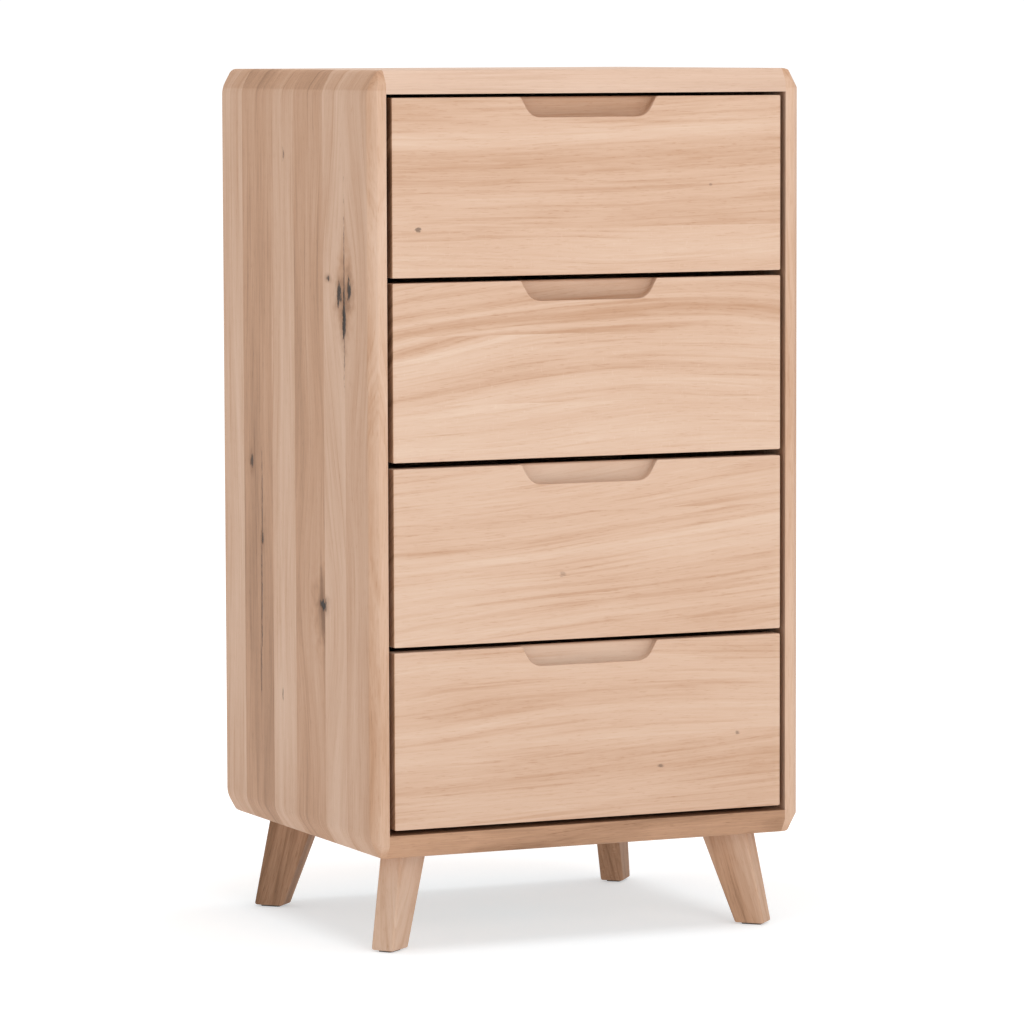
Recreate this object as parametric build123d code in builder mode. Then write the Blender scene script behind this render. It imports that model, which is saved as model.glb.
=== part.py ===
"""Tall chest of drawers: solid oak carcass on four splayed legs with four inset drawers.

Frame: millimetres, +Z up, +X to the viewer's right, front of the chest facing -Y.
Origin: on the floor, under the middle of the carcass.
"""
import os

from build123d import *

# ---------------------------------------------------------------- overall sizes
WIDTH = 542.0
DEPTH = 450.0
HEIGHT = 1002.0
LEG_HEIGHT = 111.0
SIDE_THICK = 20.0
PANEL_THICK = 27.0

# ------------------------------------------------- carcass corners and bevels
FACET_X = 12.5
FACET_Z = 22.5
FACET_R_SIDE = 30.0
FACET_R_TOP = 10.0
BEVEL_DEPTH = 10.0
FLAT_WIDTH = 11.0
FACET_BEVEL = 6.0
BEVEL_FRONT_R = 3.0
BEVEL_OUTER_R = 6.0
WASTE_OVER = 3.0
WASTE_IN = 6.0
WASTE_BACK = 8.0
SPLINE_WIDTH = 12.0
SPLINE_THICK = 4.0
SPLINE_LENGTH = 380.0

# ------------------------------------------------------------------ back panel
BACK_THICK = 8.0
BACK_REBATE = 9.0
BACK_SCREW_IN = 4.5
BACK_SCREW_R = 1.5
BACK_SCREW_LEN = 18.0
BACK_HEAD_R = 3.5
BACK_HEAD_H = 2.0
BACK_HEAD_SUNK = 2.2
SCREW_PLAY = 0.2

# ------------------------------------------------------------------------ legs
LEG_X = 206.5
LEG_Y = 161.0
LEG_TOP_LEN = 58.0
LEG_FOOT_LEN = 36.0
LEG_THICK = 29.0
LEG_SPLAY = 33.0
LEG_EDGE_R = 3.0
LEG_FOOT_R = 2.5
LEG_ANGLE = 45.0
LEG_TURN_FRONT_LEFT = 8.5
LEG_TURN_REAR_RIGHT = 5.0
GLIDE_THICK = 2.0
GLIDE_LEN = 24.0
GLIDE_WIDTH = 17.0
BOLT_R = 3.85
BOLT_HOLE_R = 4.0
BOLT_IN_LEG = 32.0
BOLT_IN_PANEL = 17.0
INSERT_R = 6.0
INSERT_HOLE_R = 6.2
INSERT_LEN = 20.0

# --------------------------------------------------------------- drawer fronts
FRONT_HEIGHT = 202.0
FRONT_THICK = 20.0
FRONT_SIDE_GAP = 6.5
FRONT_EDGE_R = 1.2
FRONT_CORNER_R = 2.0
FRONT_GAPS = (4.0, 6.0, 7.0, 6.0)

# ---------------------------------------------------------------- finger pulls
PULL_TOP_WIDTH = 171.0
PULL_DEPTH = 23.0
PULL_SIDE_RUN = 13.3
PULL_CORNER_R = 20.0
PULL_LIP_R = 3.0
PULL_POCKET = 14.0
PULL_COVE_R = 6.0
PULL_GROOVE_LENGTH = 110.0
PULL_GROOVE_WIDTH = 3.0
PULL_GROOVE_DEPTH = 4.0
PULL_LIP_THICK = 5.0

# ---------------------------------------------------------------- drawer boxes
BOX_HALF_WIDTH = 238.0
BOX_SIDE = 12.0
BOX_DEPTH = 380.0
BOX_HEIGHT = 150.0
BOX_LIFT = 14.0
BOX_BOTTOM = 6.0
BOX_BOTTOM_LIFT = 12.0
GROOVE_DEPTH = 5.0
GROOVE_PLAY = 0.2
BOX_EDGE_R = 2.0
SCREW_X = 150.0
SCREW_LOW = 42.0
SCREW_HIGH = 132.0
SCREW_R = 2.0
SCREW_LEN = 25.0
SCREW_HEAD_R = 4.0
SCREW_HEAD_H = 2.5

# --------------------------------------------------------------- drawer slides
SLIDE_LENGTH = 350.0
SLIDE_START = 25.0
SLIDE_LIFT = 75.0
SLIDE_METAL = 1.2
SLIDE_PLAY = 1.2
SLIDE_HALF_HEIGHT = 22.5
CABINET_LIP = 9.0
MIDDLE_LIP = 8.0
DRAWER_LIP = 8.2

# ------------------------------------------------------------- derived heights
BACK_Y = DEPTH / 2
FRONT_Y = -DEPTH / 2
OPEN_HALF = WIDTH / 2 - SIDE_THICK
OPEN_BOTTOM = LEG_HEIGHT + PANEL_THICK
OPEN_TOP = HEIGHT - PANEL_THICK
OPEN_MID = (OPEN_BOTTOM + OPEN_TOP) / 2
FRONT_BACK_Y = FRONT_Y + FRONT_THICK
BOX_INNER_Y = FRONT_BACK_Y + BOX_SIDE
BOX_BACK_Y = FRONT_BACK_Y + BOX_DEPTH
FRONT_HALF = OPEN_HALF - FRONT_SIDE_GAP

# Planes looking along the depth: one at the back facing forwards, one at the front facing inwards.
BACK_PLANE = Plane(origin=(0, BACK_Y, 0), x_dir=(1, 0, 0), z_dir=(0, -1, 0))
FRONT_PLANE = Plane(origin=(0, FRONT_Y, 0), x_dir=(-1, 0, 0), z_dir=(0, 1, 0))

os.makedirs("parts", exist_ok=True)


def save(piece, name):
    """Label a finished piece and write its STEP file."""
    piece.part.label = name
    export_step(piece.part, "parts/" + name + ".step")


def front_bottom(number):
    """Height of the lower edge of drawer front 1 (top) to 4 (bottom)."""
    return OPEN_TOP - sum(FRONT_GAPS[:number]) - number * FRONT_HEIGHT


# ------------------------------------------------------------- carcass outline
half = WIDTH / 2
facet_low = LEG_HEIGHT + FACET_Z
facet_high = HEIGHT - FACET_Z
inset = half - FACET_X

with BuildSketch(BACK_PLANE) as ring:
    with BuildLine():
        Polyline(
            (-inset, HEIGHT),
            (-half, facet_high),
            (-half, facet_low),
            (-inset, LEG_HEIGHT),
            (inset, LEG_HEIGHT),
            (half, facet_low),
            (half, facet_high),
            (inset, HEIGHT),
            close=True,
        )
    make_face()
    side_corners = ring.vertices().filter_by(lambda v: abs(abs(v.X) - half) < 0.01)
    fillet(side_corners, radius=FACET_R_SIDE)
    top_corners = ring.vertices().filter_by(lambda v: abs(abs(v.X) - inset) < 0.01)
    fillet(top_corners, radius=FACET_R_TOP)
    with Locations((0, OPEN_MID)):
        Rectangle(2 * OPEN_HALF, OPEN_TOP - OPEN_BOTTOM, mode=Mode.SUBTRACT)

# The corner joints stand upright, in line with the inner faces of the sides.
beyond = 40.0
joint_height = HEIGHT - LEG_HEIGHT + 2 * beyond
side_reach = SIDE_THICK + beyond

with BuildSketch(BACK_PLANE) as left_region:
    with Locations((-OPEN_HALF - side_reach / 2, OPEN_MID)):
        Rectangle(side_reach, joint_height)

with BuildSketch(BACK_PLANE) as top_region:
    with Locations((0, OPEN_TOP + side_reach / 2)):
        Rectangle(2 * OPEN_HALF, side_reach)

with BuildSketch(BACK_PLANE) as bottom_region:
    with Locations((0, OPEN_BOTTOM - side_reach / 2)):
        Rectangle(2 * OPEN_HALF, side_reach)


BEVEL_REACH = 1.2 * HEIGHT


def bevel_cut(normal_x, normal_z, at_x, at_z, width):
    """Section of the waste outside the soft front bevel along one edge of the outline.

    The edge passes through (at_x, at_z) and its outward normal is given.
    """
    edge = Plane(
        origin=(at_x, FRONT_Y, at_z),
        x_dir=(normal_x, 0, normal_z),
        z_dir=(-normal_z, 0, normal_x),
    ).offset(-BEVEL_REACH / 2)
    with BuildSketch(edge) as waste:
        with BuildLine():
            Polyline(
                (-width - WASTE_IN, -WASTE_OVER),
                (-width - WASTE_IN, 0),
                (-width, 0),
                (0, BEVEL_DEPTH),
                (0, BEVEL_DEPTH + WASTE_BACK),
                (WASTE_OVER, BEVEL_DEPTH + WASTE_BACK),
                (WASTE_OVER, -WASTE_OVER),
                close=True,
            )
        make_face()
        corners = waste.vertices()
        fillet(corners.filter_by(lambda v: abs(v.X + width) < 0.01), radius=BEVEL_FRONT_R)
        corners = waste.vertices()
        outer = corners.filter_by(lambda v: abs(v.X) < 0.01 and abs(v.Y - BEVEL_DEPTH) < 0.01)
        fillet(outer, radius=BEVEL_OUTER_R)
    return waste.sketch


facet_len = (FACET_X**2 + FACET_Z**2) ** 0.5
facet_nx = FACET_Z / facet_len
facet_nz = FACET_X / facet_len
side_bevel = SIDE_THICK - FLAT_WIDTH
panel_bevel = PANEL_THICK - FLAT_WIDTH

cut_left = bevel_cut(-1, 0, -half, OPEN_MID, side_bevel)
cut_top = bevel_cut(0, 1, 0, HEIGHT, panel_bevel)
cut_bottom = bevel_cut(0, -1, 0, LEG_HEIGHT, panel_bevel)
cut_top_left = bevel_cut(-facet_nx, facet_nz, -inset, HEIGHT, FACET_BEVEL)
cut_bottom_left = bevel_cut(-facet_nx, -facet_nz, -inset, LEG_HEIGHT, FACET_BEVEL)

# Loose tongues lie across the middle of each corner joint.
tongue_places = [
    Location((x, 0, z))
    for x in (-OPEN_HALF, OPEN_HALF)
    for z in (OPEN_TOP + PANEL_THICK / 2, OPEN_BOTTOM - PANEL_THICK / 2)
]

# Screws of the back panel, all the way round.
screw_x = OPEN_HALF + BACK_REBATE - BACK_SCREW_IN
screw_low = OPEN_BOTTOM - BACK_REBATE + BACK_SCREW_IN
screw_high = OPEN_TOP + BACK_REBATE - BACK_SCREW_IN
back_screw_points = []
for height in (190.0, 373.0, 556.0, 740.0, 923.0):
    back_screw_points.append((-screw_x, height))
    back_screw_points.append((screw_x, height))
for across in (-165.0, 0.0, 165.0):
    back_screw_points.append((across, screw_low))
    back_screw_points.append((across, screw_high))


def leg_points():
    """Plan positions of the four leg bolts."""
    return [(x, y) for x in (-LEG_X, LEG_X) for y in (-LEG_Y, LEG_Y)]


pilot_end = BACK_Y - BACK_HEAD_SUNK - BACK_SCREW_LEN - 1.0
rebate_height = OPEN_TOP - OPEN_BOTTOM + 2 * BACK_REBATE

# ---------------------------------------------------------------- carcass boards
with BuildPart() as side_left:
    extrude(ring.sketch, amount=DEPTH)
    extrude(left_region.sketch, amount=DEPTH, mode=Mode.INTERSECT)
    for cut in (cut_left, cut_top, cut_bottom, cut_top_left, cut_bottom_left):
        extrude(cut, amount=BEVEL_REACH, mode=Mode.SUBTRACT)
    with Locations((0, BACK_Y - BACK_THICK / 2, OPEN_MID)):
        Box(2 * (OPEN_HALF + BACK_REBATE), BACK_THICK, rebate_height, mode=Mode.SUBTRACT)
    with Locations(*tongue_places):
        Box(SPLINE_WIDTH, SPLINE_LENGTH, SPLINE_THICK, mode=Mode.SUBTRACT)
    with BuildSketch(BACK_PLANE):
        with Locations(*[p for p in back_screw_points if p[0] == -screw_x]):
            Circle(BACK_SCREW_R + SCREW_PLAY)
    extrude(amount=BACK_Y - pilot_end, mode=Mode.SUBTRACT)

with BuildPart() as side_right:
    mirror(side_left.part, about=Plane.YZ)

with BuildPart() as top_panel:
    extrude(ring.sketch, amount=DEPTH)
    extrude(top_region.sketch, amount=DEPTH, mode=Mode.INTERSECT)
    extrude(cut_top, amount=BEVEL_REACH, mode=Mode.SUBTRACT)
    with Locations((0, BACK_Y - BACK_THICK / 2, OPEN_MID)):
        Box(2 * (OPEN_HALF + BACK_REBATE), BACK_THICK, rebate_height, mode=Mode.SUBTRACT)
    with Locations(*tongue_places):
        Box(SPLINE_WIDTH, SPLINE_LENGTH, SPLINE_THICK, mode=Mode.SUBTRACT)
    with BuildSketch(BACK_PLANE):
        with Locations(*[p for p in back_screw_points if p[1] == screw_high]):
            Circle(BACK_SCREW_R + SCREW_PLAY)
    extrude(amount=BACK_Y - pilot_end, mode=Mode.SUBTRACT)

with BuildPart() as bottom_panel:
    extrude(ring.sketch, amount=DEPTH)
    extrude(bottom_region.sketch, amount=DEPTH, mode=Mode.INTERSECT)
    extrude(cut_bottom, amount=BEVEL_REACH, mode=Mode.SUBTRACT)
    with Locations((0, BACK_Y - BACK_THICK / 2, OPEN_MID)):
        Box(2 * (OPEN_HALF + BACK_REBATE), BACK_THICK, rebate_height, mode=Mode.SUBTRACT)
    with Locations(*tongue_places):
        Box(SPLINE_WIDTH, SPLINE_LENGTH, SPLINE_THICK, mode=Mode.SUBTRACT)
    with BuildSketch(BACK_PLANE):
        with Locations(*[p for p in back_screw_points if p[1] == screw_low]):
            Circle(BACK_SCREW_R + SCREW_PLAY)
    extrude(amount=BACK_Y - pilot_end, mode=Mode.SUBTRACT)
    with BuildSketch(Plane.XY.offset(LEG_HEIGHT)):
        with Locations(*leg_points()):
            Circle(INSERT_HOLE_R)
    extrude(amount=INSERT_LEN, mode=Mode.SUBTRACT)

with BuildPart() as corner_tongues:
    with Locations(*tongue_places):
        Box(SPLINE_WIDTH, SPLINE_LENGTH, SPLINE_THICK)

with BuildPart() as back_panel:
    with Locations((0, BACK_Y - BACK_THICK / 2, OPEN_MID)):
        Box(2 * (OPEN_HALF + BACK_REBATE), BACK_THICK, rebate_height)
    with BuildSketch(BACK_PLANE):
        with Locations(*back_screw_points):
            Circle(BACK_SCREW_R + SCREW_PLAY)
    extrude(amount=BACK_THICK, mode=Mode.SUBTRACT)
    with BuildSketch(BACK_PLANE):
        with Locations(*back_screw_points):
            Circle(BACK_HEAD_R + SCREW_PLAY)
    extrude(amount=BACK_HEAD_SUNK, mode=Mode.SUBTRACT)

with BuildPart() as back_screws:
    with BuildSketch(BACK_PLANE.offset(BACK_HEAD_SUNK - BACK_HEAD_H)):
        with Locations(*back_screw_points):
            Circle(BACK_HEAD_R)
    extrude(amount=BACK_HEAD_H)
    with BuildSketch(BACK_PLANE.offset(BACK_HEAD_SUNK)):
        with Locations(*back_screw_points):
            Circle(BACK_SCREW_R)
    extrude(amount=BACK_SCREW_LEN)

save(side_left, "side_left")
save(side_right, "side_right")
save(top_panel, "top_panel")
save(bottom_panel, "bottom_panel")
save(corner_tongues, "corner_tongues")
save(back_panel, "back_panel")
save(back_screws, "back_screws")

# ------------------------------------------------------------------------- legs
# A leg is a tapered slab, drawn here leaning along +X with its bolt on the Z axis.
with BuildPart() as leg_blank:
    with BuildSketch(Plane.XZ.offset(-LEG_THICK / 2)):
        with BuildLine():
            Polyline(
                (-LEG_TOP_LEN / 2, LEG_HEIGHT),
                (LEG_TOP_LEN / 2, LEG_HEIGHT),
                (LEG_SPLAY + LEG_FOOT_LEN / 2, GLIDE_THICK),
                (LEG_SPLAY - LEG_FOOT_LEN / 2, GLIDE_THICK),
                close=True,
            )
        make_face()
    extrude(amount=LEG_THICK)
    long_edges = leg_blank.edges().filter_by(
        lambda e: abs(e.bounding_box().size.Z) > LEG_HEIGHT / 2
    )
    fillet(long_edges, radius=LEG_EDGE_R)
    foot_edges = leg_blank.faces().sort_by(Axis.Z)[0].edges()
    fillet(foot_edges, radius=LEG_FOOT_R)
    with BuildSketch(Plane.XY.offset(LEG_HEIGHT)):
        Circle(BOLT_HOLE_R)
    extrude(amount=-BOLT_IN_LEG, mode=Mode.SUBTRACT)

leg_places = {
    "leg_front_left": Location((-LEG_X, -LEG_Y, 0), (0, 0, 180 + LEG_ANGLE - LEG_TURN_FRONT_LEFT)),
    "leg_front_right": Location((LEG_X, -LEG_Y, 0), (0, 0, -LEG_ANGLE)),
    "leg_rear_left": Location((-LEG_X, LEG_Y, 0), (0, 0, 180 - LEG_ANGLE)),
    "leg_rear_right": Location((LEG_X, LEG_Y, 0), (0, 0, LEG_ANGLE + LEG_TURN_REAR_RIGHT)),
}

for leg_name, place in leg_places.items():
    with BuildPart() as leg:
        with Locations(place):
            add(leg_blank.part)
    save(leg, leg_name)

with BuildPart() as leg_glides:
    with Locations(*leg_places.values()):
        with Locations((LEG_SPLAY, 0, GLIDE_THICK / 2)):
            Box(GLIDE_LEN, GLIDE_WIDTH, GLIDE_THICK)
    fillet(leg_glides.edges().filter_by(Axis.Z), radius=3.0)
save(leg_glides, "leg_glides")

with BuildPart() as leg_bolts:
    with BuildSketch(Plane.XY.offset(LEG_HEIGHT - BOLT_IN_LEG)):
        with Locations(*leg_points()):
            Circle(BOLT_R)
    extrude(amount=BOLT_IN_LEG + BOLT_IN_PANEL)
save(leg_bolts, "leg_bolts")

with BuildPart() as leg_inserts:
    with BuildSketch(Plane.XY.offset(LEG_HEIGHT)):
        with Locations(*leg_points()):
            Circle(INSERT_R)
            Circle(BOLT_HOLE_R, mode=Mode.SUBTRACT)
    extrude(amount=INSERT_LEN)
save(leg_inserts, "leg_inserts")


# ---------------------------------------------------------------- drawer pieces
def make_front(low):
    """Drawer front with its milled finger pull; low is the height of its lower edge."""
    high = low + FRONT_HEIGHT
    floor = high - PULL_DEPTH
    top_half = PULL_TOP_WIDTH / 2
    floor_half = top_half - PULL_SIDE_RUN
    beyond_top = 5.0
    beyond_run = beyond_top * PULL_SIDE_RUN / PULL_DEPTH
    with BuildPart() as piece:
        with Locations((0, FRONT_Y + FRONT_THICK / 2, low + FRONT_HEIGHT / 2)):
            Box(2 * FRONT_HALF, FRONT_THICK, FRONT_HEIGHT)
        fillet(piece.edges().filter_by(Axis.Y), radius=FRONT_CORNER_R)
        with BuildSketch(FRONT_PLANE) as pocket:
            with BuildLine():
                Polyline(
                    (-top_half - beyond_run, high + beyond_top),
                    (-top_half, high),
                    (-floor_half, floor),
                    (floor_half, floor),
                    (top_half, high),
                    (top_half + beyond_run, high + beyond_top),
                    close=True,
                )
            make_face()
            corners = pocket.vertices()
            fillet(corners.filter_by(lambda v: abs(v.Y - floor) < 0.01), radius=PULL_CORNER_R)
        extrude(amount=PULL_POCKET, mode=Mode.SUBTRACT)

        # Cove where the walls of the pull meet its back.
        deep = FRONT_Y + PULL_POCKET
        back_edges = piece.edges().filter_by(
            lambda e: abs(e.bounding_box().min.Y - deep) < 0.01
            and abs(e.bounding_box().max.Y - deep) < 0.01
            and e.bounding_box().min.Z < high - 0.01
        )
        fillet(back_edges, radius=PULL_COVE_R)

        # Rounded ends of the pull at the top edge of the front.
        lip_edges = piece.edges().filter_by(
            lambda e: abs(e.bounding_box().min.Z - high) < 0.01
            and abs(abs(e.center().X) - top_half) < PULL_LIP_R
            and e.bounding_box().min.Y < FRONT_Y + 0.01
            and e.bounding_box().size.Y > PULL_LIP_R
        )
        fillet(lip_edges, radius=PULL_LIP_R)
        front_edges = piece.edges().filter_by(
            lambda e: abs(e.bounding_box().max.Y - FRONT_Y) < 0.01
        )
        fillet(front_edges, radius=FRONT_EDGE_R)

        # Groove behind the lip, for the fingertips.
        groove_y = FRONT_Y + PULL_LIP_THICK + PULL_GROOVE_WIDTH / 2
        with Locations((0, groove_y, floor)):
            Box(PULL_GROOVE_LENGTH, PULL_GROOVE_WIDTH, 2 * PULL_GROOVE_DEPTH, mode=Mode.SUBTRACT)
        with BuildSketch(Plane.XZ.offset(-FRONT_BACK_Y)):
            with Locations(*screw_points(low)):
                Circle(SCREW_R + SCREW_PLAY)
        extrude(amount=SCREW_LEN - BOX_SIDE + 1.0, mode=Mode.SUBTRACT)
    return piece


def screw_points(low):
    """Screws that hold the front to its box, in the plane of the front."""
    return [(x, low + z) for x in (-SCREW_X, SCREW_X) for z in (SCREW_LOW, SCREW_HIGH)]


def bottom_groove(low):
    """Block that cuts the groove for the box bottom."""
    base = low + BOX_LIFT + BOX_BOTTOM_LIFT
    half_inner = BOX_HALF_WIDTH - BOX_SIDE + GROOVE_DEPTH
    front = BOX_INNER_Y - GROOVE_DEPTH
    back = BOX_BACK_Y - BOX_SIDE + GROOVE_DEPTH
    tall = BOX_BOTTOM + GROOVE_PLAY
    with BuildPart() as block:
        with Locations((0, (front + back) / 2, base + tall / 2)):
            Box(2 * half_inner, back - front, tall)
    return block.part


def make_box_board(low, x_low, x_high, y_low, y_high, holes):
    """One board of the drawer box between the given plan limits."""
    height = low + BOX_LIFT
    with BuildPart() as board:
        with Locations(((x_low + x_high) / 2, (y_low + y_high) / 2, height + BOX_HEIGHT / 2)):
            Box(x_high - x_low, y_high - y_low, BOX_HEIGHT)
        add(bottom_groove(low), mode=Mode.SUBTRACT)
        if holes:
            with BuildSketch(Plane.XZ.offset(-y_high)):
                with Locations(*screw_points(low)):
                    Circle(SCREW_R + SCREW_PLAY)
            extrude(amount=y_high - y_low, mode=Mode.SUBTRACT)
        else:
            top_edges = board.faces().sort_by(Axis.Z)[-1].edges()
            longest = sorted(top_edges, key=lambda e: -e.length)[:2]
            fillet(longest, radius=BOX_EDGE_R)
    return board


def make_box_bottom(low):
    """Thin bottom held in the grooves of the four box boards."""
    base = low + BOX_LIFT + BOX_BOTTOM_LIFT
    half_width = BOX_HALF_WIDTH - BOX_SIDE + GROOVE_DEPTH - 0.5
    front = BOX_INNER_Y - GROOVE_DEPTH + 0.5
    back = BOX_BACK_Y - BOX_SIDE + GROOVE_DEPTH - 0.5
    with BuildPart() as sheet:
        with Locations((0, (front + back) / 2, base + BOX_BOTTOM / 2)):
            Box(2 * half_width, back - front, BOX_BOTTOM)
    return sheet


def make_front_screws(low):
    """Pan-head screws from inside the box into the front."""
    with BuildPart() as screws:
        with BuildSketch(Plane.XZ.offset(-BOX_INNER_Y - SCREW_HEAD_H)):
            with Locations(*screw_points(low)):
                Circle(SCREW_HEAD_R)
        extrude(amount=SCREW_HEAD_H)
        fillet(screws.faces().filter_by(Axis.Y).group_by(Axis.Y)[-1].edges(), radius=1.2)
        with BuildSketch(Plane.XZ.offset(-BOX_INNER_Y)):
            with Locations(*screw_points(low)):
                Circle(SCREW_R)
        extrude(amount=SCREW_LEN)
    return screws


def make_channels(low, web_x, half_height, lip, outwards):
    """A pair of C-section slide members, one on each side of the drawer.

    web_x is the outer face of the web; outwards turns the lips towards the carcass side.
    """
    centre = low + SLIDE_LIFT
    start = FRONT_Y + SLIDE_START
    plane = Plane.XZ.offset(-(start + SLIDE_LENGTH))
    reach = lip - SLIDE_METAL
    with BuildPart() as pair:
        for side in (-1, 1):
            web_mid = side * (web_x - SLIDE_METAL / 2)
            if outwards:
                lip_mid = side * (web_x + reach / 2)
            else:
                lip_mid = side * (web_x - SLIDE_METAL - reach / 2)
            with BuildSketch(plane):
                with Locations((web_mid, centre)):
                    Rectangle(SLIDE_METAL, 2 * half_height)
                with Locations((lip_mid, centre + half_height - SLIDE_METAL / 2)):
                    Rectangle(reach, SLIDE_METAL)
                with Locations((lip_mid, centre - half_height + SLIDE_METAL / 2)):
                    Rectangle(reach, SLIDE_METAL)
            extrude(amount=SLIDE_LENGTH)
    return pair


box_inner = BOX_HALF_WIDTH - BOX_SIDE
middle_height = SLIDE_HALF_HEIGHT - SLIDE_METAL - SLIDE_PLAY
drawer_height = middle_height - SLIDE_METAL - SLIDE_PLAY
middle_web = OPEN_HALF - SLIDE_METAL - SLIDE_PLAY

for number in (1, 2, 3, 4):
    low = front_bottom(number)
    tag = "drawer_" + str(number)
    save(make_front(low), tag + "_front")
    save(
        make_box_board(low, -box_inner, box_inner, FRONT_BACK_Y, BOX_INNER_Y, True),
        tag + "_box_front",
    )
    save(
        make_box_board(low, -BOX_HALF_WIDTH, -box_inner, FRONT_BACK_Y, BOX_BACK_Y, False),
        tag + "_box_left",
    )
    save(
        make_box_board(low, box_inner, BOX_HALF_WIDTH, FRONT_BACK_Y, BOX_BACK_Y, False),
        tag + "_box_right",
    )
    save(
        make_box_board(low, -box_inner, box_inner, BOX_BACK_Y - BOX_SIDE, BOX_BACK_Y, False),
        tag + "_box_back",
    )
    save(make_box_bottom(low), tag + "_box_bottom")
    save(make_front_screws(low), tag + "_screws")
    save(
        make_channels(low, OPEN_HALF, SLIDE_HALF_HEIGHT, CABINET_LIP, False),
        "slide_" + str(number) + "_cabinet",
    )
    save(
        make_channels(low, middle_web, middle_height, MIDDLE_LIP, False),
        "slide_" + str(number) + "_middle",
    )
    save(
        make_channels(low, BOX_HALF_WIDTH + SLIDE_METAL, drawer_height, DRAWER_LIP, True),
        "slide_" + str(number) + "_drawer",
    )
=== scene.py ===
"""Looks, light and camera for the tall oak chest of drawers.

Everything is in metres, in the frame of the CAD model: +Z up, the front faces -Y.
"""
import math

import bpy
from mathutils import Matrix, Vector


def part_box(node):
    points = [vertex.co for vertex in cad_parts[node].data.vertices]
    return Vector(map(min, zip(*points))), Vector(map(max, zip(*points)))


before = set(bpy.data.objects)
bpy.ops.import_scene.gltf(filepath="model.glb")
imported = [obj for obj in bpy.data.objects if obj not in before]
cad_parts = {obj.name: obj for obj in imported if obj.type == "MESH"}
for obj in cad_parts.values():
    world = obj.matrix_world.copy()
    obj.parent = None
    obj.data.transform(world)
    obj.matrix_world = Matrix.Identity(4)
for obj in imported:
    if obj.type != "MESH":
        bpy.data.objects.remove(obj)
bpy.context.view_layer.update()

# ---------------------------------------------------------------- camera
CAMERA_YAW = 24.436
CAMERA_PITCH = 4.902
CAMERA_ROLL = -0.177
CAMERA_DISTANCE = 6.4996
CAMERA_TARGET = Vector((0.0042, 0.0, 0.4795))
SENSOR = 36.0
LENS = 193.39

# ---------------------------------------------------------------- light
SKY_STRENGTH = 0.60
HORIZON_STRENGTH = 1.05
FLOOR_RADIUS = 120.0
FLOOR_CORNERS = 64
HORIZON_FADE = (0.06, 0.22)
# The floor glow is painted light that turns the floor white; it is lower under the chest as a
# painted shadow, and bluish there to offset the warm bounce from the wood.
FLOOR_GLOW_AND_SHADOW_REACH = 2.0
FLOOR_GLOW_AND_SHADOW_STOPS = (
    (0.00, (0.355, 0.450, 0.500)),
    (0.14, (0.370, 0.418, 0.445)),
    (0.20, (0.385, 0.392, 0.396)),
    (0.32, (0.490, 0.490, 0.490)),
    (0.65, (0.640, 0.640, 0.640)),
)

# ---------------------------------------------------------------- palette (linear)
OAK_STOPS = (
    (0.00, (0.090, 0.042, 0.020)),
    (0.20, (0.255, 0.132, 0.070)),
    (0.45, (0.472, 0.272, 0.165)),
    (0.70, (0.598, 0.402, 0.288)),
    (1.00, (0.700, 0.535, 0.418)),
)
CRACK_COLOUR = (0.012, 0.008, 0.006, 1.0)
PALE_OVERLAY = (0.760, 0.640, 0.560, 1.0)

HALO_COLOUR = (0.215, 0.100, 0.045, 1.0)

# growth lines: how much they run into the board, and their slow and fine sideways waves in metres
DEPTH_RUN = 0.8
SWAY = 0.025
WOBBLE = 0.002
LEAN_RANGE = 0.03

# noise scales of the oak, in features per metre across the grain
SLOW_SCALE = 8.0
FINE_SCALE = 40.0
WANDER_SCALE = 70.0
BAND_SCALE = 26.0
LINE_SCALE = 210.0
FIBRE_SCALE = 620.0
PORE_SCALE = 1100.0
FLECK_SCALE = 240.0
CLOUD_SCALE = 7.0
RAGGED_SCALE = 260.0

# how much each layer of the oak moves its tone
LINE_DARK = 0.105
FIBRE_TONE = 0.20
PORE_DARK = 0.10
FLECK_LIGHT = 0.05
CLOUD_TONE = 0.18
KNOT_DARK = 0.22
KNOT_PULL = 0.85

# cracks: those stronger than this have a brown halo, wider than the crack by these factors
HALO_FROM = 0.7
HALO_SIZE = (1.5, 2.2)
HALO_TONE = 0.5

# surface of the oiled oak
OAK_IOR = 1.45
OAK_SPECULAR = 0.32
OAK_ROUGHNESS = 0.58
OAK_RELIEF = 0.00012

X_AXIS = (1.0, 0.0, 0.0)
Y_AXIS = (0.0, 1.0, 0.0)
Z_AXIS = (0.0, 0.0, 1.0)


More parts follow.
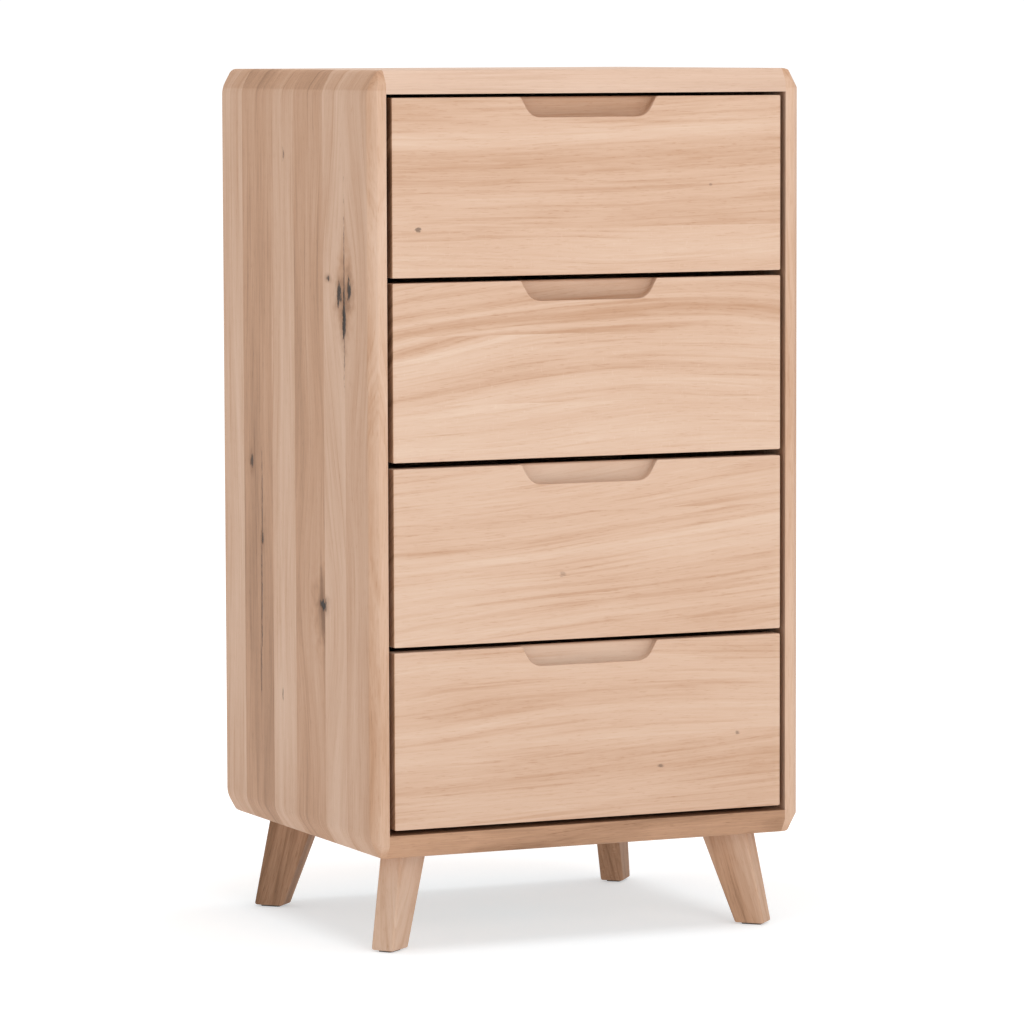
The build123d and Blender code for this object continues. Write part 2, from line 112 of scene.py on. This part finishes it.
class Shader:
    """Builds the nodes of one material."""

    def __init__(self, name):
        self.material = bpy.data.materials.new(name)
        self.material.use_nodes = True
        self.tree = self.material.node_tree
        self.tree.nodes.clear()
        output = self.new("ShaderNodeOutputMaterial")
        self.surface = self.new("ShaderNodeBsdfPrincipled")
        self.tree.links.new(self.surface.outputs["BSDF"], output.inputs["Surface"])
        self.place = self.new("ShaderNodeTexCoord").outputs["Object"]

    def new(self, kind):
        return self.tree.nodes.new(kind)

    def put(self, socket, value):
        if isinstance(value, bpy.types.NodeSocket):
            self.tree.links.new(value, socket)
        else:
            socket.default_value = value

    def math(self, operation, *values, clamp=False):
        node = self.new("ShaderNodeMath")
        node.operation = operation
        node.use_clamp = clamp
        for socket, value in zip(node.inputs, values):
            self.put(socket, value)
        return node.outputs[0]

    def add(self, *values):
        total = values[0]
        for value in values[1:]:
            total = self.math("ADD", total, value)
        return total

    def scaled(self, value, factor, shift=0.0):
        """value * factor + shift"""
        return self.math("MULTIPLY_ADD", value, factor, shift)

    def along(self, axis):
        """Distance along a fixed direction."""
        node = self.new("ShaderNodeVectorMath")
        node.operation = "DOT_PRODUCT"
        self.put(node.inputs[0], self.place)
        node.inputs[1].default_value = axis
        return node.outputs["Value"]

    def join(self, x, y, z):
        node = self.new("ShaderNodeCombineXYZ")
        for socket, value in zip(node.inputs, (x, y, z)):
            self.put(socket, value)
        return node.outputs[0]

    def noise(self, vector, scale, detail=2.0, roughness=0.5):
        node = self.new("ShaderNodeTexNoise")
        self.put(node.inputs["Vector"], vector)
        node.inputs["Scale"].default_value = scale
        node.inputs["Detail"].default_value = detail
        node.inputs["Roughness"].default_value = roughness
        return node.outputs["Fac"]

    def smooth(self, value, low, high, start=0.0, end=1.0):
        node = self.new("ShaderNodeMapRange")
        node.interpolation_type = "SMOOTHSTEP"
        self.put(node.inputs["Value"], value)
        node.inputs["From Min"].default_value = low
        node.inputs["From Max"].default_value = high
        node.inputs["To Min"].default_value = start
        node.inputs["To Max"].default_value = end
        return node.outputs["Result"]

    def ramp(self, value, stops, interpolation="LINEAR"):
        node = self.new("ShaderNodeValToRGB")
        self.put(node.inputs["Fac"], value)
        node.color_ramp.interpolation = interpolation
        points = node.color_ramp.elements
        while len(points) < len(stops):
            points.new(1.0)
        for point, (position, colour) in zip(points, stops):
            point.position = position
            point.color = tuple(colour) + (1.0,)
        return node.outputs["Color"]

    def mix(self, factor, first, second, blend="MIX"):
        node = self.new("ShaderNodeMix")
        node.data_type = "RGBA"
        node.blend_type = blend
        self.put(node.inputs["Factor"], factor)
        self.put(node.inputs["A"], first)
        self.put(node.inputs["B"], second)
        return node.outputs["Result"]

    def split(self, colour):
        node = self.new("ShaderNodeSeparateColor")
        self.put(node.inputs["Color"], colour)
        return node.outputs["Red"], node.outputs["Green"], node.outputs["Blue"]

    def bump(self, height, distance, strength=1.0):
        node = self.new("ShaderNodeBump")
        self.put(node.inputs["Height"], height)
        node.inputs["Distance"].default_value = distance
        node.inputs["Strength"].default_value = strength
        self.put(self.surface.inputs["Normal"], node.outputs["Normal"])

    def spot(self, g, c, place, size, soft=0.5, rough=None):
        """Mask of an ellipse at (along, across) with half sizes; 1 inside, 0 outside."""
        dg = self.scaled(g, 1.0 / size[0], -place[0] / size[0])
        dc = self.scaled(c, 1.0 / size[1], -place[1] / size[1])
        squares = self.add(self.math("MULTIPLY", dg, dg), self.math("MULTIPLY", dc, dc))
        distance = self.math("SQRT", squares)
        if rough is not None:
            distance = self.add(distance, rough)
        return self.smooth(distance, 1.0 - soft, 1.0 + soft, 1.0, 0.0)


def oak(name, grain, across, through, staves, spread, slope=0.0, bow=0.0, middle=0.0,
        seed=0.0, band=0.56, knots=(), cracks=(), specks=(), stripes=(), pull_painted_shade=None,
        edge=None, end_grain_and_shade=None, wash=0.0):
    """Oiled oak glued up from staves.

    grain, across, through: directions along the fibres, over the staves and into the board.
    staves: (upper limit over the board, tone) in rising order; spread: lower and upper limit.
    slope, bow: how far the growth lines run off and bend along the grain, about the middle.
    band: contrast of the growth bands.
    knots: (along, across, half length, half width, clip low, clip high)
    cracks, specks: (along, across, half length, half width, strength)
    stripes: (across, half width, lift) of single lighter or darker growth bands.
    wash: how much of a paler tone is laid over.
    pull_painted_shade: (depth, depth, shade) between which painted shade darkens the wood, as in
    the milled pulls; a negative shade is painted light.
    edge: (from, to, light) over the board, where the front edge is paler.
    end_grain_and_shade: (from, to, shade) along the grain from the middle, where the wood is
    darker, partly as end grain and partly as painted shade.
    """
    s = Shader(name)
    g = s.along(grain)
    c = s.along(across)
    d = s.along(through)
    low, high = spread

    stops = []
    start = 0.0
    for index, (limit, tone) in enumerate(staves):
        chance = (math.sin((index + 1) * 12.9898 + seed * 7.13) * 43758.5453) % 1.0
        stops.append((start, (tone, chance, (chance * 7.31) % 1.0)))
        start = (limit - low) / (high - low)
    where = s.scaled(c, 1.0 / (high - low), -low / (high - low))
    tone, chance, figure = s.split(s.ramp(where, stops, "CONSTANT"))
    shift = s.scaled(chance, 9.0, seed)

    # growth lines: the distance over the board, bent by slow noise and by the knots
    slow = s.noise(s.join(c, d, s.scaled(g, 0.22, shift)), SLOW_SCALE, 1.0)
    fine = s.noise(s.join(c, d, s.scaled(g, 0.16, shift)), FINE_SCALE, 2.0)
    lean = s.scaled(figure, LEAN_RANGE, slope - 0.5 * LEAN_RANGE)
    off = s.scaled(g, 1.0, -middle)
    line = s.add(
        c,
        s.scaled(d, DEPTH_RUN),
        s.math("MULTIPLY", g, lean),
        s.math("MULTIPLY", s.math("MULTIPLY", off, off), bow),
        s.scaled(slow, 2.0 * SWAY, -SWAY),
        s.scaled(fine, 2.0 * WOBBLE, -WOBBLE),
    )
    wander = s.noise(s.join(c, d, s.scaled(g, 1.0, shift)), WANDER_SCALE, 2.0)
    wander = s.scaled(wander, 1.6, -0.8)
    dark = []
    for at_g, at_c, long, wide, clip_low, clip_high in knots:
        round_it = s.spot(g, c, (at_g, at_c), (long * 3.0, wide * 3.0), 1.0)
        pulled = s.math("MULTIPLY", s.math("SUBTRACT", c, at_c), round_it)
        line = s.add(line, s.scaled(pulled, -KNOT_PULL))
        swirl = s.spot(g, c, (at_g, at_c), (long, wide), 0.8, wander)
        inside = s.math("GREATER_THAN", c, clip_low)
        inside = s.math("MULTIPLY", inside, s.math("LESS_THAN", c, clip_high))
        dark.append(s.math("MULTIPLY", s.scaled(swirl, KNOT_DARK), inside))

    bands = s.noise(s.join(line, s.scaled(g, 0.06, shift), 0.0), BAND_SCALE, 6.0, 0.66)
    lines = s.noise(s.join(line, s.scaled(g, 0.020, shift), 4.0), LINE_SCALE, 2.0)
    lines = s.smooth(lines, 0.50, 0.72)
    fibre = s.noise(s.join(line, d, s.scaled(g, 0.035, shift)), FIBRE_SCALE, 2.0, 0.6)
    pores = s.noise(s.join(c, d, s.scaled(g, 0.07, shift)), PORE_SCALE, 1.0)
    pores = s.smooth(pores, 0.60, 0.74)
    flecks = s.noise(s.join(s.scaled(c, 0.5), d, s.scaled(g, 1.4, shift)), FLECK_SCALE, 1.0)
    flecks = s.math("MULTIPLY", s.smooth(flecks, 0.62, 0.74), s.smooth(figure, 0.45, 0.8))
    cloud = s.noise(s.join(c, d, s.scaled(g, 0.5, shift)), CLOUD_SCALE, 2.0)

    value = s.add(
        tone,
        s.scaled(bands, band, -0.5 * band),
        s.scaled(lines, -LINE_DARK),
        s.scaled(fibre, FIBRE_TONE, -0.5 * FIBRE_TONE),
        s.scaled(pores, -PORE_DARK),
        s.scaled(flecks, FLECK_LIGHT),
        s.scaled(cloud, CLOUD_TONE, -0.5 * CLOUD_TONE),
    )
    if edge is not None:
        value = s.add(value, s.smooth(c, edge[0], edge[1], edge[2], 0.0))
    # darker wood towards the ends: partly end grain, partly painted shade
    if end_grain_and_shade is not None:
        out = s.math("ABSOLUTE", g)
        value = s.math("SUBTRACT", value, s.smooth(out, end_grain_and_shade[0], end_grain_and_shade[1], 0.0, end_grain_and_shade[2]))
    for at_c, half, lift in stripes:
        offset = s.math("ABSOLUTE", s.scaled(line, 1.0, -at_c))
        value = s.add(value, s.smooth(offset, 0.3 * half, half, lift, 0.0))
    for mask in dark:
        value = s.math("SUBTRACT", value, mask)
    # painted shade in the milled pulls, between two depths; a negative value paints light
    if pull_painted_shade is not None:
        value = s.math("SUBTRACT", value, s.smooth(d, pull_painted_shade[0], pull_painted_shade[1], 0.0, pull_painted_shade[2]))
    colour = s.ramp(s.math("ADD", value, 0.0, clamp=True), OAK_STOPS)
    if wash:
        colour = s.mix(wash, colour, PALE_OVERLAY)

    ragged = s.noise(s.join(c, d, s.scaled(g, 0.45, shift)), RAGGED_SCALE, 3.0, 0.6)
    ragged = s.scaled(ragged, 3.2, -1.6)
    hollow = s.scaled(pores, 0.6)
    for at_g, at_c, long, wide, strength in cracks:
        if strength > HALO_FROM:
            size = (long * HALO_SIZE[0], wide * HALO_SIZE[1])
            halo = s.spot(g, c, (at_g, at_c), size, 0.9, wander)
            colour = s.mix(s.scaled(halo, HALO_TONE), colour, HALO_COLOUR)
    for at_g, at_c, long, wide, strength in tuple(cracks) + tuple(specks):
        mask = s.spot(g, c, (at_g, at_c), (long, wide), 0.45, ragged)
        mask = s.scaled(mask, strength)
        colour = s.mix(mask, colour, CRACK_COLOUR)
        hollow = s.add(hollow, s.scaled(mask, 6.0))

    s.put(s.surface.inputs["Base Color"], colour)
    s.put(s.surface.inputs["Roughness"], s.scaled(fibre, 0.18, OAK_ROUGHNESS - 0.09))
    s.surface.inputs["IOR"].default_value = OAK_IOR
    s.surface.inputs["Specular IOR Level"].default_value = OAK_SPECULAR
    height = s.add(s.scaled(fibre, 0.8), s.scaled(lines, -0.8), s.scaled(hollow, -1.0))
    s.bump(height, OAK_RELIEF)
    return s.material


def steel(name, colour, rough, drawn):
    """Zinc-plated sheet with fine drawing lines along the given direction."""
    s = Shader(name)
    across = [0.0 if axis else 1.0 for axis in drawn]
    lines = s.noise(
        s.join(s.along((across[0], 0.0, 0.0)), s.along((0.0, 0.03, 0.0)), s.along((0.0, 0.0, 1.0))),
        900.0, 2.0,
    )
    cloud = s.noise(s.place, 30.0, 3.0)
    light = tuple(colour) + (1.0,)
    shade = tuple(0.90 * part for part in colour) + (1.0,)
    s.put(s.surface.inputs["Base Color"], s.mix(s.smooth(cloud, 0.3, 0.7), shade, light))
    s.surface.inputs["Metallic"].default_value = 1.0
    roughness = s.add(s.scaled(lines, 0.18, rough - 0.09), s.scaled(cloud, 0.1, -0.05))
    s.put(s.surface.inputs["Roughness"], roughness)
    s.bump(lines, 0.00003)
    return s.material


def felt(name, colour):
    """Pressed felt with short tangled hair."""
    s = Shader(name)
    hair = s.noise(s.place, 1800.0, 3.0, 0.7)
    light = tuple(1.5 * part for part in colour) + (1.0,)
    shade = tuple(0.6 * part for part in colour) + (1.0,)
    s.put(s.surface.inputs["Base Color"], s.mix(hair, shade, light))
    s.surface.inputs["Roughness"].default_value = 0.95
    s.surface.inputs["Sheen Weight"].default_value = 0.3
    s.bump(hair, 0.0004)
    return s.material


def dress(node, material):
    """Gives a CAD node one material."""
    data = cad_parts[node].data
    data.materials.clear()
    data.materials.append(material)


# ---------------------------------------------------------------- carcass
low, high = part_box("side_left")
side_spread = (low.y, high.y)
LEFT_STAVES = (
    (-0.150, 0.57), (-0.087, 0.64), (0.001, 0.48), (0.0705, 0.60), (0.161, 0.43), (high.y, 0.61),
)
RIGHT_STAVES = (
    (-0.171, 0.57), (-0.094, 0.42), (-0.022, 0.60), (0.063, 0.45), (0.139, 0.57), (high.y, 0.48),
)
# (height, depth position, half length, half width, strength)
left_cracks = (
    (0.748, -0.1478, 0.082, 0.0016, 0.55),
    (0.722, -0.1475, 0.022, 0.0042, 0.95),
    (0.748, -0.133, 0.012, 0.0050, 0.92),
    (0.753, -0.162, 0.012, 0.0045, 0.92),
    (0.765, -0.101, 0.0028, 0.0035, 0.85),
    (0.389, -0.081, 0.0055, 0.0075, 0.95),
    (0.541, 0.137, 0.008, 0.0035, 0.75),
    (0.451, 0.105, 0.007, 0.0030, 0.80),
    (0.500, 0.1055, 0.050, 0.0016, 0.55),
    (0.385, 0.1085, 0.055, 0.0018, 0.60),
    (0.300, 0.1115, 0.030, 0.0014, 0.50),
    (0.904, 0.033, 0.006, 0.0020, 0.55),
    (0.272, 0.044, 0.006, 0.0020, 0.55),
)
# (height, depth position, half length, half width, lowest and highest depth position)
left_knots = (
    (0.750, -0.148, 0.040, 0.022, -1.0, 1.0),
    (0.385, -0.078, 0.038, 0.022, -0.087, 1.0),
)
# the sides are paler along the front edge, and darker on the upper chamfer, partly end grain and
# partly painted shade
PALE_EDGE = (side_spread[0] + 0.001, side_spread[0] + 0.008, 0.11)
CHAMFER_GRAIN_AND_SHADE = (high.z - 0.0240, high.z - 0.0215, 0.075)
dress("side_left", oak(
    "oak_side_left", Z_AXIS, Y_AXIS, X_AXIS, LEFT_STAVES, side_spread, seed=1.0,
    band=0.65, edge=PALE_EDGE, end_grain_and_shade=CHAMFER_GRAIN_AND_SHADE, knots=left_knots, cracks=left_cracks,
))
dress("side_right", oak(
    "oak_side_right", Z_AXIS, Y_AXIS, X_AXIS, RIGHT_STAVES, side_spread, seed=5.0,
    band=0.65, edge=PALE_EDGE, end_grain_and_shade=CHAMFER_GRAIN_AND_SHADE,
    knots=((0.610, 0.030, 0.036, 0.020, -0.022, 0.063),),
    cracks=((0.612, 0.031, 0.008, 0.0045, 0.9), (0.300, -0.120, 0.030, 0.0012, 0.5)),
))

TOP_STAVES = (
    (-0.168, 0.62), (-0.093, 0.66), (-0.008, 0.78), (0.071, 0.62), (0.149, 0.74), (high.y, 0.66),
)
# the bottom staves are darker partly by their own tone and partly as painted shade on the
# down-facing front edge
BOTTOM_STAVES = (
    (-0.152, 0.41), (-0.069, 0.60), (0.014, 0.50), (0.090, 0.62), (high.y, 0.55),
)
dress("top_panel", oak(
    "oak_top", X_AXIS, Y_AXIS, Z_AXIS, TOP_STAVES, side_spread, seed=2.0, wash=0.22,
))
dress("bottom_panel", oak(
    "oak_bottom", X_AXIS, Y_AXIS, Z_AXIS, BOTTOM_STAVES, side_spread, seed=3.0, band=0.8,
))
dress("corner_tongues", oak(
    "oak_tongue", Y_AXIS, X_AXIS, Z_AXIS, ((1.0, 0.5),), (-1.0, 1.0), seed=4.0,
))
low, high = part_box("back_panel")
back_width = high.x - low.x
dress("back_panel", oak(
    "oak_back", Z_AXIS, X_AXIS, Y_AXIS,
    ((low.x + 0.26 * back_width, 0.60), (low.x + 0.51 * back_width, 0.66),
     (low.x + 0.77 * back_width, 0.58), (high.x, 0.64)),
    (low.x, high.x), seed=6.0,
))

# ---------------------------------------------------------------- legs
LEG_LEAN = 0.21
# the legs are one wood; their different tones are painted light and shade, darkest on the rear legs
# as painted shade under the chest
LEG_LIT_AND_SHADED_TONES = {
    "leg_front_left": 0.72, "leg_front_right": 0.56, "leg_rear_left": 0.29, "leg_rear_right": 0.30,
}
for index, (name, leg_painted_tone) in enumerate(LEG_LIT_AND_SHADED_TONES.items()):
    low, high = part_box(name)
    corner_x = 1.0 if name.endswith("right") else -1.0
    corner_y = -1.0 if "front" in name else 1.0
    lean = Vector((LEG_LEAN * corner_x, LEG_LEAN * corner_y, -1.0)).normalized()
    side = Vector((-corner_y, corner_x, 0.0)).normalized()
    face = lean.cross(side)
    material = oak(
        "oak_" + name, tuple(lean), tuple(side), tuple(face), ((1.0, leg_painted_tone),), (-1.0, 1.0),
        seed=10.0 + index, band=1.2,
    )
    dress(name, material)

# ---------------------------------------------------------------- drawer fronts
low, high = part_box("drawer_1_front")
front_face = low.y
# the ends of the fronts are darkened, partly as end grain and partly as painted shade of the gaps
# beside them
END_GRAIN_AND_GAP_SHADE = 0.36
# Heights are above the lower edge of the front.
# staves: (upper limit, tone); stripes: (height, half width, lift);
# specks: (x, height, half length, half width, strength); shade: painted shade in the pull, painted
# light where it is negative
FRONTS = {
    1: {
        "staves": ((0.053, 0.76), (0.202, 0.645)),
        "slope": 0.00, "bow": -0.10, "middle": -0.05, "shade": 0.11,
        "stripes": ((0.153, 0.011, 0.10), (0.128, 0.006, -0.03), (0.085, 0.008, 0.03)),
        "specks": ((-0.213, 0.054, 0.0030, 0.0022, 0.6), (0.154, 0.100, 0.0016, 0.0012, 0.35)),
    },
    2: {
        "staves": ((0.063, 0.80), (0.141, 0.75), (0.202, 0.67)),
        "slope": 0.00, "bow": 0.22, "middle": 0.12, "shade": 0.05,
        "stripes": ((0.174, 0.004, 0.11), (0.162, 0.005, -0.10), (0.151, 0.004, 0.12),
                    (0.186, 0.006, -0.07), (0.100, 0.007, -0.06), (0.078, 0.006, 0.06)),
        "specks": (),
    },
    3: {
        "staves": ((0.146, 0.74), (0.202, 0.75)),
        "slope": -0.09, "bow": 0.0, "middle": 0.0, "shade": -0.08,
        "stripes": ((0.130, 0.006, -0.07), (0.110, 0.007, 0.07), (0.064, 0.004, -0.07),
                    (0.050, 0.003, -0.06), (0.036, 0.004, -0.08), (0.020, 0.005, 0.05)),
        "specks": ((-0.0345, 0.075, 0.0030, 0.0022, 0.25),),
    },
    4: {
        "staves": ((0.090, 0.68), (0.202, 0.745)),
        "slope": -0.02, "bow": 0.02, "middle": 0.0, "shade": -0.16,
        "stripes": ((0.060, 0.007, -0.05), (0.120, 0.006, 0.05)),
        "specks": ((0.090, 0.055, 0.0035, 0.0016, 0.5), (0.188, 0.089, 0.0025, 0.0020, 0.45)),
    },
}
for number, spec in FRONTS.items():
    name = f"drawer_{number}_front"
    low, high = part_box(name)
    staves = tuple((low.z + limit, tone) for limit, tone in spec["staves"])
    specks = tuple((x, low.z + z, a, b, k) for x, z, a, b, k in spec["specks"])
    level = low.z + DEPTH_RUN * front_face
    stripes = tuple((level + z, half, lift) for z, half, lift in spec["stripes"])
    dress(name, oak(
        f"oak_front_{number}", X_AXIS, Z_AXIS, Y_AXIS, staves, (low.z, high.z),
        slope=spec["slope"], bow=spec["bow"], middle=spec["middle"], seed=20.0 + number,
        specks=specks, stripes=stripes,
        # painted shade in the pull, per drawer
        pull_painted_shade=(front_face + 0.002, front_face + 0.006, spec["shade"]),
        end_grain_and_shade=(high.x - 0.0008, high.x - 0.0002, END_GRAIN_AND_GAP_SHADE),
    ))

# ---------------------------------------------------------------- drawer boxes and metal
box_long = oak("oak_box_side", Y_AXIS, Z_AXIS, X_AXIS, ((2.0, 0.66),), (0.0, 2.0), seed=31.0)
box_cross = oak("oak_box_cross", X_AXIS, Z_AXIS, Y_AXIS, ((2.0, 0.64),), (0.0, 2.0), seed=32.0)
box_floor = oak("oak_box_floor", X_AXIS, Y_AXIS, Z_AXIS, ((1.0, 0.74),), (-1.0, 1.0), seed=33.0)
zinc = steel("zinc_sheet", (0.47, 0.48, 0.49), 0.38, Y_AXIS)
screw = steel("zinc_screw", (0.45, 0.45, 0.46), 0.38, Z_AXIS)
brass = steel("brass_insert", (0.72, 0.55, 0.27), 0.34, Z_AXIS)
for number in FRONTS:
    prefix = f"drawer_{number}_"
    dress(prefix + "box_left", box_long)
    dress(prefix + "box_right", box_long)
    dress(prefix + "box_front", box_cross)
    dress(prefix + "box_back", box_cross)
    dress(prefix + "box_bottom", box_floor)
    dress(prefix + "screws", screw)
    for member in ("cabinet", "middle", "drawer"):
        dress(f"slide_{number}_{member}", zinc)
dress("back_screws", screw)
dress("leg_bolts", screw)
dress("leg_inserts", brass)
dress("leg_glides", felt("felt_glide", (0.10, 0.08, 0.065)))


# ---------------------------------------------------------------- floor, world, lights
def make_floor():
    """Pale floor that glows a little as painted light, so that it turns white, and glows less under
    the chest as a painted shadow.
    """
    points = []
    for index in range(FLOOR_CORNERS):
        turn = 2.0 * math.pi * index / FLOOR_CORNERS
        points.append((FLOOR_RADIUS * math.cos(turn), FLOOR_RADIUS * math.sin(turn), 0.0))
    mesh = bpy.data.meshes.new("floor")
    mesh.from_pydata(points, [], [tuple(range(len(points)))])
    floor = bpy.data.objects.new("floor", mesh)
    bpy.context.scene.collection.objects.link(floor)
    s = Shader("pale_floor")
    cloud = s.noise(s.place, 1.5, 2.0)
    light = (0.78, 0.78, 0.78, 1.0)
    shade = (0.75, 0.75, 0.75, 1.0)
    s.put(s.surface.inputs["Base Color"], s.mix(cloud, shade, light))
    s.surface.inputs["Roughness"].default_value = 0.9
    s.surface.inputs["Specular IOR Level"].default_value = 0.0
    x = s.along(X_AXIS)
    y = s.along(Y_AXIS)
    radius = s.math("SQRT", s.add(s.math("MULTIPLY", x, x), s.math("MULTIPLY", y, y)))
    # painted light, lower under the chest as a painted shadow
    glow_and_painted_shadow = s.ramp(s.math("MULTIPLY", radius, 1.0 / FLOOR_GLOW_AND_SHADOW_REACH, clamp=True), FLOOR_GLOW_AND_SHADOW_STOPS)
    s.put(s.surface.inputs["Emission Color"], glow_and_painted_shadow)
    s.surface.inputs["Emission Strength"].default_value = 1.0
    mesh.materials.append(s.material)


def make_world():
    """White studio sky, brightest at the horizon."""
    world = bpy.data.worlds.new("studio")
    world.use_nodes = True
    tree = world.node_tree
    place = tree.nodes.new("ShaderNodeTexCoord")
    parts = tree.nodes.new("ShaderNodeSeparateXYZ")
    fade = tree.nodes.new("ShaderNodeMapRange")
    fade.interpolation_type = "SMOOTHSTEP"
    fade.inputs["From Min"].default_value = HORIZON_FADE[0]
    fade.inputs["From Max"].default_value = HORIZON_FADE[1]
    fade.inputs["To Min"].default_value = HORIZON_STRENGTH
    fade.inputs["To Max"].default_value = SKY_STRENGTH
    background = tree.nodes["Background"]
    background.inputs["Color"].default_value = (1.0, 1.0, 1.0, 1.0)
    tree.links.new(place.outputs["Generated"], parts.inputs[0])
    tree.links.new(parts.outputs["Z"], fade.inputs["Value"])
    tree.links.new(fade.outputs["Result"], background.inputs["Strength"])
    bpy.context.scene.world = world


def make_softbox(name, place, aim, size, watts):
    """Square area light at one place, turned to another."""
    light = bpy.data.lights.new(name, "AREA")
    light.shape = "SQUARE"
    light.size = size
    light.energy = watts
    lamp = bpy.data.objects.new(name, light)
    lamp.location = place
    towards = Vector(aim) - Vector(place)
    lamp.rotation_mode = "QUATERNION"
    lamp.rotation_quaternion = towards.to_track_quat("-Z", "Y")
    bpy.context.scene.collection.objects.link(lamp)


def make_camera():
    """Long-lens camera to the left of the front, a little above the middle."""
    yaw = math.radians(CAMERA_YAW)
    pitch = math.radians(CAMERA_PITCH)
    roll = math.radians(CAMERA_ROLL)
    flat = math.cos(pitch)
    forward = Vector((math.sin(yaw) * flat, math.cos(yaw) * flat, -math.sin(pitch)))
    level = Vector((math.cos(yaw), -math.sin(yaw), 0.0))
    upright = level.cross(forward)
    right = level * math.cos(roll) + upright * math.sin(roll)
    up = upright * math.cos(roll) - level * math.sin(roll)
    data = bpy.data.cameras.new("camera")
    data.sensor_width = SENSOR
    data.lens = LENS
    data.clip_end = 4.0 * FLOOR_RADIUS
    camera = bpy.data.objects.new("camera", data)
    turn = Matrix((right, up, -forward)).transposed().to_4x4()
    camera.matrix_world = Matrix.Translation(CAMERA_TARGET - forward * CAMERA_DISTANCE) @ turn
    bpy.context.scene.collection.objects.link(camera)
    bpy.context.scene.camera = camera


make_floor()
make_world()
make_softbox("softbox_top", (0.0, -0.3, 3.6), (0.0, 0.0, 0.5), 3.2, 60.0)
make_softbox("softbox_front", (0.3, -4.8, 2.2), (0.0, 0.0, 0.6), 2.4, 50.0)
make_camera()
bpy.context.scene.view_settings.view_transform = "Standard"
